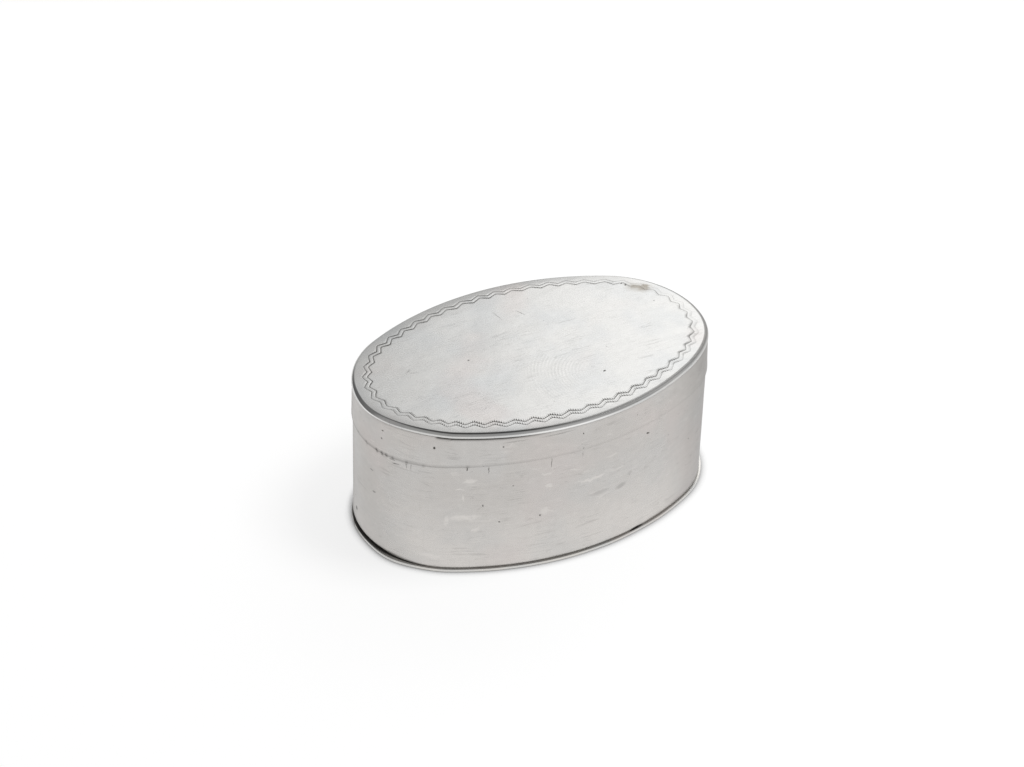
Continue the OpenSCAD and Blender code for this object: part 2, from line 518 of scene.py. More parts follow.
        # painted shade: the colour is lighter below the first height and darker above the second
        low, high, amount = self.height_shade
        colour = graph.mix(height.rise(low, high), self.shade(1.0 + amount), self.shade(1.0 - amount))
        for share, tone in (
            (sheet.cloud.rise(0.4, 0.68) * 0.5, self.cool),
            (sheet.tint.rise(0.52, 0.7) * 0.4, self.warm),
            (sheet.grain.rise(0.5, 0.72) * self.mottle, self.shade(0.76)),
            (sheet.grain.rise(0.5, 0.3) * self.mottle, self.shade(1.22)),
            (sheet.brush.rise(0.52, 0.75) * self.brushed, self.shade(0.8)),
            (sheet.upright.rise(0.55, 0.75) * 0.8 * self.brushed, self.shade(0.8)),
            ((light * self.smear * 2.0).at_most(1.0), self.shade(1.24)),
            (sheet.smears.rise(0.42, 0.3) * sheet.patchy * self.smear * 0.6, self.shade(0.76)),
        ):
            colour = graph.mix(share, colour, tone)
        return colour

    def hairs(self, graph: Graph, lay: Wire) -> Wire:
        """Fine scratches in three directions.

        Args:
            graph: Tree of the material.
            lay: Coordinates along the sheet in millimetres.

        Returns:
            A value from 0 to 1.
        """
        found: Wire | None = None
        for turn, stretch in ((4.0, 0.045), (-38.0, 0.06), (82.0, 0.07)):
            lines = graph.noise(graph.stretched(lay, (stretch, 0.9, 0.9), turn), 1.0, 1.0)
            hair = abs(lines - 0.5).rise(0.009, 0.002)
            broken = graph.noise(graph.stretched(lay, (1.0, 1.0, 1.0), 3 * turn), 0.25, 1.0).rise(0.5, 0.62)
            hair = hair * broken
            found = hair if found is None else found.at_least(hair)
        return found


@dataclass(frozen=True)
class Steel:
    """Dark oxidised steel with bright worn spots and brown dust."""

    name: str
    colour: Colour = (0.16, 0.162, 0.168)
    rubbed_and_highlight: Colour = (0.42, 0.42, 0.43)
    dust: Colour = (0.11, 0.062, 0.032)
    roughness: float = 0.42
    bump: float = 0.00002

    def material(self) -> bpy.types.Material:
        """Builds the finish.

        Returns:
            A new material.
        """
        made, graph = Graph.material(self.name)
        plan = graph.plan()
        cloud = graph.noise(plan, 0.35, 5.0, 0.6)
        grain = graph.noise(graph.stretched(plan, (0.3, 3.0, 1.0), 8.0), 2.0, 3.0)
        dust = graph.noise(plan, 0.9, 4.0, 0.65).rise(0.55, 0.72)
        colour = graph.mix(cloud.rise(0.5, 0.75) * 0.7, self.colour, self.rubbed_and_highlight)
        colour = graph.mix(dust * 0.75, colour, self.dust)
        shape = graph.node(
            "ShaderNodeBump", sockets={"Strength": 0.8, "Distance": self.bump, "Height": grain + dust * 0.8}
        )
        surface = graph.node(
            "ShaderNodeBsdfPrincipled",
            sockets={
                "Base Color": colour,
                "Metallic": 1.0 - dust * 0.8,
                "Roughness": self.roughness + grain * 0.15 + dust * 0.3,
                "Normal": shape,
            },
        )
        graph.node("ShaderNodeOutputMaterial", sockets={"Surface": surface})
        return made


@dataclass(frozen=True)
class Columns:
    """Places round the outline: length along it, points, outward directions and the whole length."""

    along: np.ndarray
    points: np.ndarray
    outward: np.ndarray
    length: float

    def at(self, grow: np.ndarray | float, height: np.ndarray | float) -> np.ndarray:
        """Points at a distance from the outline.

        Args:
            grow: Distance outwards, one for all or one for each column.
            height: Height, one for all or one for each column.

        Returns:
            One point for each column.
        """
        flat = self.points + self.outward * np.broadcast_to(grow, self.along.shape)[:, None]
        return np.column_stack([flat, np.broadcast_to(height, self.along.shape)])

    @property
    def corner(self) -> np.ndarray:
        """How far each place lies in a corner of the outline; the front left one counts most."""
        x, y = self.outward.T
        share = np.where(y > 0, 0.05, np.where(x > 0, np.minimum(1.0, 1.2 * y * y), 1.0))
        return (2 * x * y) ** 2 * share

    def drawn_in(self, amount: float) -> Columns:
        """The same places with the four corners drawn in by an amount."""
        return replace(self, points=self.points - self.outward * (amount * self.corner)[:, None])


@dataclass(frozen=True)
class Bell:
    """Smooth bump along the outline: its place, its reach, its height and how steep its flanks are."""

    place: float
    reach: float
    share: float = 1.0
    power: int = 2

    def at(self, columns: Columns) -> np.ndarray:
        """Height of the bump at each column."""
        return self.share * np.exp(-(((columns.along - self.place) / self.reach) ** self.power))


def piled(bells: Sequence[Bell], columns: Columns) -> np.ndarray:
    """Sum of several bumps at each column."""
    return sum(bell.at(columns) for bell in bells)


@dataclass(frozen=True)
class Oval:
    """Four-centre oval: two small end arcs and two wide side arcs that meet without a corner."""

    half_length: float
    half_width: float
    end_step: float = 3.0

    @property
    def end_radius(self) -> float:
        """Radius of an end arc."""
        return self.half_width - self.end_step

    @property
    def end_centre(self) -> float:
        """Distance of an end arc's centre from the middle."""
        return self.half_length - self.end_radius

    @property
    def side_centre(self) -> float:
        """Distance of a side arc's centre from the middle."""
        return (self.end_centre**2 - self.end_step**2) / (2 * self.end_step)

    @property
    def side_radius(self) -> float:
        """Radius of a side arc."""
        return self.half_width + self.side_centre

    def columns(self, count: int) -> Columns:
        """Even places round the outline, from the middle of the back round by the left end.

        Args:
            count: Number of places.

        Returns:
            The places.
        """
        meet = math.atan2(self.side_centre, self.end_centre)
        quarter = math.pi / 2
        ends = [math.pi - meet, math.pi + meet, 2 * math.pi - meet, 2 * math.pi + meet]
        turns = np.array([quarter, *ends, 5 * quarter])
        radii = np.array([self.side_radius, self.end_radius] * 2 + [self.side_radius])
        centres = np.array(
            [
                [0.0, -self.side_centre],
                [-self.end_centre, 0.0],
                [0.0, self.side_centre],
                [self.end_centre, 0.0],
                [0.0, -self.side_centre],
            ]
        )
        stops = np.concatenate([[0.0], np.cumsum(radii * np.diff(turns))])
        along = stops[-1] * np.arange(count) / count
        arc = np.clip(np.searchsorted(stops, along, side="right") - 1, 0, 4)
        turn = np.interp(along, stops, turns)
        outward = np.column_stack([np.cos(turn), np.sin(turn)])
        return Columns(along, centres[arc] + outward * radii[arc][:, None], outward, float(stops[-1]))


def ripples(points: np.ndarray, wavelength: float, seed: int, waves: int = 9) -> np.ndarray:
    """Smooth random swelling made of plane waves.

    Args:
        points: Places, one in each row.
        wavelength: Typical distance between swellings.
        seed: Seed of the random draws.
        waves: Number of waves.

    Returns:
        A value of about -1 to 1 for each place.
    """
    draw = np.random.default_rng(seed)
    total = np.zeros(len(points))
    for _ in range(waves):
        direction = draw.normal(size=3)
        direction *= 2 * math.pi / (wavelength * draw.uniform(0.7, 1.4) * np.linalg.norm(direction))
        total += np.sin(points @ direction + draw.uniform(0, 2 * math.pi))
    return total * math.sqrt(2 / waves) / 2


def fillet(
    corner: tuple[float, float], radius: float, start: float, end: float, steps: int
) -> list[tuple[float, float]]:
    """Points of a rounded corner in a section.

    Args:
        corner: Centre of the rounding.
        radius: Radius of the rounding.
        start: First angle in degrees.
        end: Last angle in degrees.
        steps: Number of steps between them.

    Returns:
        Distances from the outline with their heights.
    """
    turns = np.radians(np.linspace(start, end, steps + 1))
    return [(corner[0] + radius * math.cos(t), corner[1] + radius * math.sin(t)) for t in turns]


@dataclass
class Ring:
    """Closed row of a shell: the numbers of its points and their places on the sheet."""

    first: int
    count: int
    sheet: np.ndarray
    period: float


@dataclass
class Shell:
    """Collects rings of points and the faces between them; rings run anticlockwise seen from above."""

    points: list[np.ndarray] = field(default_factory=list)
    dirt_and_shade: list[np.ndarray] = field(default_factory=list)
    faces: list[tuple[int, ...]] = field(default_factory=list)
    corners: list[np.ndarray] = field(default_factory=list)
    total: int = 0

    def ring(
        self, points: np.ndarray, sheet: np.ndarray, period: float, dirt_and_shade: np.ndarray | float = 0.0
    ) -> Ring:
        """Adds a ring of points.

        Args:
            points: Points in millimetres.
            sheet: Length and height of each point on the sheet.
            period: Length after which the sheet meets itself, or 0 on a flat plate.
            dirt_and_shade: Darkening of each point from 0 to 1 by soil, patina and painted shade; negative
                values give polish with a painted highlight.

        Returns:
            The new ring.
        """
        made = Ring(self.total, len(points), sheet, period)
        self.points.append(points)
        self.dirt_and_shade.append(np.broadcast_to(np.asarray(dirt_and_shade, float), (len(points),)))
        self.total += len(points)
        return made

    def join(self, first: Ring, second: Ring) -> None:
        """Fills the space between two rings; the second lies to the left of the first's run.

        Args:
            first: Ring to start from.
            second: Ring to end at; one ring may have a whole number of times as many points as the other.
        """
        coarse = min(first.count, second.count)
        a, b = first.count // coarse, second.count // coarse
        for i in range(coarse):
            near = [(i * a + k) % first.count for k in range(a + 1)]
            far = [(i * b + k) % second.count for k in range(b, -1, -1)]
            self.faces.append(tuple([first.first + n for n in near] + [second.first + n for n in far]))
            uv = np.concatenate([first.sheet[near], second.sheet[far]])
            if i == coarse - 1:
                uv = uv.copy()
                uv[a, 0] += first.period
                uv[a + 1, 0] += second.period
            self.corners.append(uv)

    def loft(self, rings: list[Ring], closed: bool = False) -> None:
        """Fills the spaces between rings.

        Args:
            rings: Rings in order.
            closed: True if the last one meets the first.
        """
        for first, second in zip(rings, rings[1:] + (rings[:1] if closed else [])):
            self.join(first, second)

    def cap(self, ring: Ring, point: np.ndarray, outwards: bool) -> None:
        """Closes a flat plate at its middle.

        Args:
            ring: Last ring, or the first one of a plate that starts at its middle.
            point: The middle.
            outwards: True if the plate goes on from the middle outwards.
        """
        middle = self.total
        self.points.append(point[None, :])
        self.dirt_and_shade.append(np.zeros(1))
        self.total += 1
        for i in range(ring.count):
            j = (i + 1) % ring.count
            order = (j, i) if outwards else (i, j)
            self.faces.append((ring.first + order[0], ring.first + order[1], middle))
            self.corners.append(np.vstack([ring.sheet[list(order)], point[:2]]))

    def piece(self, name: str, material: bpy.types.Material) -> bpy.types.Object:
        """Makes the mesh object.

        Args:
            name: Name of the piece.
            material: Its material.

        Returns:
            The new object, at the origin.
        """
        mesh = bpy.data.meshes.new(name)
        mesh.from_pydata((np.concatenate(self.points) * MM).tolist(), [], self.faces)
        uv = mesh.uv_layers.new(name=SHEET_UV)
        uv.data.foreach_set("uv", (np.concatenate(self.corners) / UV_UNIT).astype(np.float32).ravel())
        dirt_and_shade = mesh.attributes.new(WEAR_AND_LIGHT_ATTRIBUTE, "FLOAT", "POINT")
        dirt_and_shade.data.foreach_set("value", np.concatenate(self.dirt_and_shade).astype(np.float32))
        mesh.materials.append(material)
        mesh.shade_smooth()
        mesh.update()
        return placed(name, mesh)


def placed(name: str, data: bpy.types.ID) -> bpy.types.Object:
    """Makes an object at the origin and puts it in the scene."""
    made = bpy.data.objects.new(name, data)
    bpy.context.scene.collection.objects.link(made)
    return made


def mount(piece: bpy.types.Object, body: str, slot: str, *nodes: str) -> None:
    """Fixes a piece to its body and logs it.

    Args:
        piece: The piece.
        body: Name of the CAD body that it moves with.
        slot: Material slot of the record; not used.
        nodes: CAD nodes that it stands for.
    """
    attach(piece, body)
    if nodes:
        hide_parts(*nodes)
    log.info("%s: %d faces on %s", piece.name, len(piece.data.polygons), body)


SEAM_RISE = 0.34
SEAM_DROP = 0.6
SEAM_SPOT = 0.17
SEAM_SPOTS = (
    (33.2, 0.4), (35.6, 0.6), (37.9, 1.0), (38.9, 1.0), (39.7, 0.8),
    (40.8, 0.5), (43.0, 0.5), (45.4, 0.3), (51.3, 0.4),
)
SEAM_DIRT = tuple(Bell(place, SEAM_SPOT, share) for place, share in SEAM_SPOTS)
# painted shade on the wall and band near both ends, strongest by the left end's edge
END_SHADE = (Bell(27.0, 3.5, 0.5), Bell(34.0, 6.0, 0.12), Bell(97.0, 9.5, 0.55))


def seam_shift(oval: Oval, columns: Columns) -> np.ndarray:
    """How far the joint between lid and wall lies from its mean height at each column.

    Args:
        oval: Outline of the wall.
        columns: Places round it.

    Returns:
        A height: the joint rises at the front and drops at the left end.
    """
    front = np.clip(-columns.points[:, 1] / (0.7 * oval.half_width), 0, 1)
    left = np.clip(-columns.points[:, 0] / oval.half_length, 0, 1) ** 3
    return SEAM_RISE * front * front * (3 - 2 * front) - SEAM_DROP * left


@dataclass
class Lid:
    """Top plate with its engraved border, and the skirt under it."""

    oval: Oval
    fine: int = 2880
    middle: int = 720
    coarse: int = 360
    # plate: its sheet, rolled margin, rim and slightly dished middle
    sheet: float = 0.55
    roll_width: float = 2.6
    roll_radius: float = 20.0
    edge_radius: float = 0.6
    draw_in: float = 0.75
    margin_ring: float = -0.47
    field_edge: float = -3.6
    field_rings: int = 30
    dish: float = 0.05
    dish_wave: float = 0.045
    # rim: its worn sag, the dark solder joint, polish with painted highlights at the front, and painted shade
    # on its rounding towards the right end
    sag_place: Bell = Bell(36.0, 7.0, 0.14)
    sag_inner: float = -1.3
    sag_run: float = 1.5
    sag_ease: float = 0.6
    # painted highlight: where along the front the rim's rounding takes the bright colour
    rubbed_and_highlight: tuple[Bell, ...] = (Bell(66.0, 8.0), Bell(36.0, 2.5, 0.7))
    # painted shade on the rim's rounding towards the right end, in place of its reflected highlight
    rim_shade: Bell = Bell(104.0, 19.0)
    rim_shade_level: float = 0.42
    # painted shade on the upper part of the rim's rounding, right of the front
    dark_rim: Bell = Bell(84.0, 24.0, 1.0, 4)
    dark_rim_shade: float = 0.3
    dark_from: float = 0.5
    solder_from: float = 46.8
    solder_to: float = 63.0
    solder_start: float = 0.4
    solder_end: float = 6.0
    solder_least: float = 0.08
    solder_dark: float = 0.9
    # engraved border
    waves: int = 49
    wave_height: float = 0.27
    zigzag: float = 0.96
    inset_back: float = 0.15
    inset_left: float = 0.2
    outer_line: float = -1.45
    inner_line: float = -2.12
    outer_cut: float = 0.6
    line_width: float = 0.08
    line_depth: float = 0.02
    lip_place: float = 0.11
    lip_height: float = 0.002
    ticks: int = 432
    tick_depth: float = 0.022
    tick_length: float = 0.3
    worn_place: tuple[float, float] = (20.9, 7.1)
    worn_reach: float = 2.6
    # skirt
    skirt_sheet: float = 0.45
    skirt_flare: float = 0.04
    skirt_round: float = 0.05
    skirt_dent: float = 0.012
    inner_dirt: float = 0.25

    def __post_init__(self) -> None:
        """Takes the heights and overhangs from the CAD frame."""
        low, high = solid("lid_top")
        self.plate_low, self.plate_high = float(low[2]), float(high[2])
        self.plate_out = float(high[0]) - self.oval.half_length
        low, high = solid("lid_skirt")
        self.skirt_low, self.skirt_high = float(low[2]), float(high[2])
        self.skirt_out = float(high[0]) - self.oval.half_length
        self.skirt_in = self.skirt_out - self.skirt_sheet

    def roll(self, grow: np.ndarray | float) -> np.ndarray:
        """Height of the rolled margin.

        Args:
            grow: Distance outwards from the outline.

        Returns:
            The height of the plate's upper side there.
        """
        run = np.maximum(0.0, np.asarray(grow, float) + self.roll_width)
        return self.plate_high - self.roll_radius + np.sqrt(self.roll_radius**2 - run**2)

    def sag(self, columns: Columns, points: np.ndarray, grow: np.ndarray | float) -> np.ndarray:
        """Lowers the margin where it is worn round, at the left end.

        Args:
            columns: Places round the outline.
            points: Points of a ring of the upper side or the edge.
            grow: Their distance outwards from the outline.

        Returns:
            The lowered points.
        """
        worn = self.sag_place.at(columns)
        worn = worn * np.clip((np.asarray(grow) - self.sag_inner) / self.sag_run, 0, 1) ** 2
        share = np.clip((points[:, 2] - self.plate_low) / self.sag_ease, 0, 1)
        return points - np.column_stack([np.zeros((len(points), 2)), worn * share])

    def solder(self, columns: Columns) -> np.ndarray:
        """Dirt in the joint under the plate's edge at each column: a dark stretch at the front left."""
        start = np.clip((columns.along - self.solder_from) / self.solder_start, 0, 1)
        end = np.clip((self.solder_to - columns.along) / self.solder_end, 0, 1)
        return self.solder_least + self.solder_dark * start * end

    def plate(self, material: bpy.types.Material) -> bpy.types.Object:
        """Builds the top plate.

        Args:
            material: Its finish.

        Returns:
            The piece.
        """
        shell = Shell()
        rings: list[Ring] = []
        under = self.plate_high - self.sheet
        middle = self.oval.columns(self.middle).drawn_in(self.draw_in)

        def flat(points: np.ndarray, dirt_and_shade: np.ndarray | float = 0.0) -> Ring:
            """Adds a ring whose pattern lies in plan."""
            return shell.ring(points, points[:, :2], 0.0, dirt_and_shade)

        start = middle.at(-self.roll_width, under)
        for share in (0.3, 0.65):
            rings.append(flat(start * [share, share, 1.0], 0.1))
        shell.cap(rings[0], np.array([0.0, 0.0, under]), True)
        for grow, height, dirt_and_shade in ((-self.roll_width, under, 0.15), (self.skirt_in, self.plate_low, 0.5)):
            rings.append(flat(middle.at(grow, height), dirt_and_shade))
        edge = self.plate_out - self.edge_radius
        edge_rise = math.sqrt((self.roll_radius - self.edge_radius) ** 2 - (self.roll_width + edge) ** 2)
        edge_low = self.plate_high - self.roll_radius + edge_rise
        edge_top = math.degrees(math.atan2(edge_rise, self.roll_width + edge))
        section = [(self.skirt_out, self.plate_low, 0.9), (self.plate_out - 0.02, self.plate_low, 0.8)]
        section += [(self.plate_out, self.plate_low + 0.02, 0.5)]
        joint = self.solder(middle)
        for grow, height, dirt_and_shade in section:
            rings.append(flat(middle.at(grow, height), dirt_and_shade * joint))
        corner = fillet((edge, edge_low), self.edge_radius, 0.0, edge_top, 14)
        # painted light on the rim's rounding: painted shade towards the right end and on its upper part,
        # elsewhere polish with painted highlights along the front
        dull_and_shade = self.rim_shade.at(middle)
        wear_and_light = self.rim_shade_level * dull_and_shade - (0.5 + 0.5 * piled(self.rubbed_and_highlight, middle)) * (1 - dull_and_shade)
        dark = self.dark_rim.at(middle)
        for (grow, height), share in zip(corner, np.linspace(0.0, 1.0, len(corner))):
            upper = np.clip((share - self.dark_from) / 0.15, 0, 1) * dark
            points = self.sag(middle, middle.at(grow, height), grow)
            rings.append(flat(points, wear_and_light * (1 - upper) + (self.dark_rim_shade + 0.35 * dull_and_shade) * upper))
        margin = middle.at(self.margin_ring, self.roll(self.margin_ring))
        rings.append(flat(self.sag(middle, margin, self.margin_ring)))
        rings += self.border(shell)
        inner = self.oval.columns(self.coarse).drawn_in(self.draw_in).at(self.field_edge, self.plate_high)
        for share in np.linspace(1.0, 0.04, self.field_rings):
            points = inner * [share, share, 1.0]
            points[:, 2] -= (1 - share**2) * (self.dish + self.dish_wave * ripples(points, 15.0, 11))
            rings.append(flat(points))
        shell.loft(rings)
        shell.cap(rings[-1], np.array([0.0, 0.0, points[:, 2].mean()]), False)
        return shell.piece("lid_plate", material)

    def border(self, shell: Shell) -> list[Ring]:
        """Adds the two engraved wavy lines with their fine cross cuts.

        Args:
            shell: Shell of the plate.

        Returns:
            The rings from the margin inwards.
        """
        columns = self.oval.columns(self.fine).drawn_in(self.draw_in)
        share = columns.along / columns.length
        draw = np.random.default_rng(5)
        drift = sum(
            draw.uniform(0.02, 0.05) * np.sin(2 * math.pi * (k * share + draw.uniform()))
            for k in range(3, 15, 2)
        )
        rightward, backward = columns.outward.T
        phase = 2 * math.pi * (self.waves * share) + 5.0 * drift
        bend = np.arcsin(self.zigzag * np.sin(phase)) / math.asin(self.zigzag)
        inset = self.inset_back * np.clip(backward, 0, 1) ** 2
        inset = inset + self.inset_left * np.clip(-rightward, 0, 1) ** 2
        wave = self.wave_height * bend * (1 + 1.2 * drift) - inset
        pressed = 0.12 + 0.88 * (0.5 + 0.5 * np.cos(phase + 0.6)) ** 1.5
        comb = pressed**0.7 * (0.5 + 0.5 * np.cos(2 * math.pi * self.ticks * share)) ** 2
        comb = comb * (0.2 + 0.8 * np.clip(0.3 - 1.5 * backward, 0, 1))
        away = np.hypot(*(columns.points - np.array(self.worn_place)).T)
        kept = 0.12 + 0.88 * np.clip((away - 0.5 * self.worn_reach) / self.worn_reach, 0, 1)
        kept = kept * (0.9 + 1.5 * drift) * (1.0 + 0.3 * np.clip(-backward, 0, 1))
        fresh = 1.0 - 0.5 * np.clip(rightward, 0, 1)
        back = np.clip(0.3 + backward, 0, 1) * np.clip(0.8 - rightward, 0, 1)
        width = self.line_width * (1.0 + 0.9 * back)
        outer = self.outer_cut * fresh + 0.4 * back

        steps = [(-0.6, 0.0), (-0.85, 0.4), (-1.1, 0.8)]
        for line in (self.outer_line, self.inner_line):
            steps += [(line + d, 1.0) for d in (0.13, 0.08, 0.035, 0.0, -0.035, -0.08, -0.14, -0.21)]
        steps += [(-2.6, 0.8), (-3.0, 0.4), (-3.4, 0.0)]
        rings = []
        for grow, follow in steps:
            cut = np.zeros(self.fine)
            dark = np.zeros(self.fine)
            for line, strength in ((self.outer_line, outer), (self.inner_line, 1.0)):
                off = grow - line
                groove = np.maximum(0.0, 1 - abs(off) / width)
                tooth = max(0.0, 1 - abs(off + 0.4 * self.tick_length) / (0.6 * self.tick_length))
                lip = math.exp(-(((abs(off) - self.lip_place) / 0.03) ** 2)) if follow == 1.0 else 0.0
                depth = self.line_depth * (1 + back) * groove * (0.5 + 0.5 * pressed)
                depth = depth + self.tick_depth * tooth * comb
                cut += strength * kept * fresh * (depth - self.lip_height * (1 + 2 * back) * lip)
                filled = groove * (0.8 + 0.3 * pressed) * (0.2 + 0.8 * fresh)
                dark += strength * kept * (filled + 2.2 * tooth * comb)
            place = grow + follow * wave
            points = columns.at(place, np.minimum(self.roll(place) - cut, self.plate_high))
            points = self.sag(columns, points, place)
            rings.append(shell.ring(points, points[:, :2], 0.0, np.clip(dark, 0, 0.92)))
        return rings

    def skirt(self, material: bpy.types.Material) -> bpy.types.Object:
        """Builds the skirt, a band with a softly worn lower edge.

        Args:
            material: Its finish.

        Returns:
            The piece.
        """
        columns = self.oval.columns(self.middle)
        shell = Shell()
        rings = []
        r = self.skirt_round
        tall = self.skirt_high - self.skirt_low
        upper = [tall - 0.4, tall - 0.25, tall - 0.12]
        rises = np.concatenate([[0.45, 0.8], np.linspace(1.2, tall - 0.6, 10), upper])
        section = fillet((self.skirt_in + r, self.skirt_low + r), r, 180, 270, 3)
        section += fillet((self.skirt_out - r, self.skirt_low + r), r, 270, 360, 5)
        section += [(self.skirt_out, self.skirt_low + float(h)) for h in rises]
        section += [(self.skirt_out, self.skirt_high), (self.skirt_in, self.skirt_high)]
        section += [(self.skirt_in, self.skirt_low + h) for h in (3.4, 2.4, 1.8, 0.6)]
        clear = float(solid("mouth_bezel")[1][2]) + 0.2
        width = self.skirt_out - self.skirt_in
        left = np.clip(-columns.points[:, 0] / self.oval.half_length, 0, 1) ** 2
        ragged = ripples(columns.at(0.0, 0.0), 5.0, 3)
        for grow, height in section:
            rise, drop = height - self.skirt_low, max(0.0, self.skirt_high - height)
            outside = (grow - self.skirt_in) / width
            low = math.exp(-rise / 0.25)
            lean = outside * max(0.0, rise / tall) ** 1.5
            lean += (1 - outside) * max(0.0, (height - clear) / (self.skirt_high - clear))
            flare = outside * self.skirt_flare * math.exp(-rise / 0.9)
            place = grow + flare - self.draw_in * lean * columns.corner
            points = columns.at(place, height)
            dent = ripples(points, 9.0, 21) + 0.5 * ripples(points, 3.5, 22)
            inward = self.skirt_dent * (1 + dent) * outside * min(1.0, rise) * min(1.0, drop)
            seam = seam_shift(self.oval, columns) * (1 - rise / tall)
            heights = height + seam + low * (0.01 * ragged - 0.04 + 0.04 * left)
            points = columns.at(place - inward, heights)
            edge = math.exp(-((rise / 0.12) ** 2)) * (0.1 + 0.25 * left + 0.7 * piled(SEAM_DIRT, columns))
            joint = min(1.0, 1.3 * math.exp(-((drop / 0.24) ** 2)))
            inner = self.inner_dirt if outside < 0.1 else 0.0
            # painted shade near both ends comes in with the end bells
            dirt_and_shade = edge + joint * self.solder(columns) + piled(END_SHADE, columns) + inner
            dirt_and_shade = np.clip(dirt_and_shade, 0, 1)
            rings.append(shell.ring(points, np.column_stack([columns.along, heights]), columns.length, dirt_and_shade))
        shell.loft(rings, closed=True)
        return shell.piece("lid_band", material)

    def build(self, plate: bpy.types.Material, band: bpy.types.Material) -> None:
        """Builds and mounts the lid.

        Args:
            plate: Finish of the top plate.
            band: Finish of the skirt.
        """
        mount(self.plate(plate), "lid", "silver", "lid_top")
        mount(self.skirt(band), "lid", "silver", "lid_skirt")


@dataclass
class Body:
    """Wall of the box, one strip of sheet, with its worn lower edge."""

    oval: Oval
    count: int = 720
    sheet: float = 0.5
    worn_length: float = 13.0
    worn_height: float = 0.3
    chip_place: float = 8.6
    chip_length: float = 2.6
    chip_height: float = 0.2
    edge_drop: float = 0.16
    drop_from: float = -25.2
    drop_run: float = 4.0
    edge_round: float = 0.04
    swell: float = 0.016
    inner_dirt: float = 0.25

    def __post_init__(self) -> None:
        """Takes the heights from the CAD frame."""
        low, high = solid("body_wall")
        self.low, self.high = float(low[2]), float(high[2])

    def lower_edge(self, columns: Columns) -> np.ndarray:
        """Height of the wall's lower edge at each column."""
        x, y = columns.points.T
        worn = np.where(x < 0, self.worn_height * np.maximum(0.0, 1 - (2 * y / self.worn_length) ** 2), 0.0)
        off = 2 * (x - self.chip_place) / self.chip_length
        chip = np.where(y < 0, self.chip_height * np.maximum(0.0, 1 - off**2), 0.0)
        dropped = self.edge_drop * np.clip((x - self.drop_from) / self.drop_run, 0, 1)
        return self.low - dropped + np.maximum(worn, chip)

    def wall(self, material: bpy.types.Material) -> bpy.types.Object:
        """Builds the wall.

        Args:
            material: Its finish.

        Returns:
            The piece.
        """
        columns = self.oval.columns(self.count)
        shell = Shell()
        rings = []
        edge = self.lower_edge(columns)
        r = self.edge_round
        section = fillet((r - self.sheet, r), r, 180, 270, 3) + fillet((-r, r), r, 270, 360, 4)
        rises = np.concatenate([[0.25, 0.5], np.linspace(0.9, self.high - self.low - 0.8, 34)])
        section += [(0.0, float(h)) for h in rises]
        top = self.high - self.low
        section += [(0.0, top - h) for h in (0.5, 0.25, 0.03)] + [(-0.03, top), (-self.sheet, top)]
        section += [(-self.sheet, h) for h in (12.0, 7.0, 3.0, 0.5)]
        share = (self.high + seam_shift(self.oval, columns) - edge) / top
        left = np.clip(-columns.points[:, 0] / self.oval.half_length, 0, 1) ** 2
        for grow, rise in section:
            heights = edge + rise * (share if rise > 0.3 else 1.0)
            points = columns.at(grow, heights)
            outside = 1.0 if grow > -0.3 else 0.0
            swell = ripples(points, 11.0, 31) + 0.45 * ripples(points, 4.0, 32)
            ease = min(1.0, rise / 1.5) * min(1.0, max(0.0, top - rise) / 1.0)
            points = columns.at(grow - outside * ease * self.swell * (1.4 + swell), heights)
            seam = math.exp(-(((top - rise) / 0.12) ** 2)) * (0.02 + 0.35 * left)
            seam = seam + math.exp(-(((top - rise) / 0.3) ** 2)) * piled(SEAM_DIRT, columns)
            # darker at the wall's foot, most at the left end
            foot = math.exp(-((rise / 0.2) ** 2)) * (0.03 + 0.15 * left**2)
            inner = 0.0 if outside else self.inner_dirt
            # painted shade near both ends comes in with the end bells
            dirt_and_shade = np.clip(seam + foot + piled(END_SHADE, columns) + inner, 0, 1)
            rings.append(shell.ring(points, np.column_stack([columns.along, heights]), columns.length, dirt_and_shade))
        shell.loft(rings, closed=True)
        return shell.piece("box_wall", material)

    def build(self, material: bpy.types.Material) -> None:
        """Builds and mounts the wall.

        Args:
            material: Its finish.
        """
        mount(self.wall(material), "body", "silver", "body_wall")


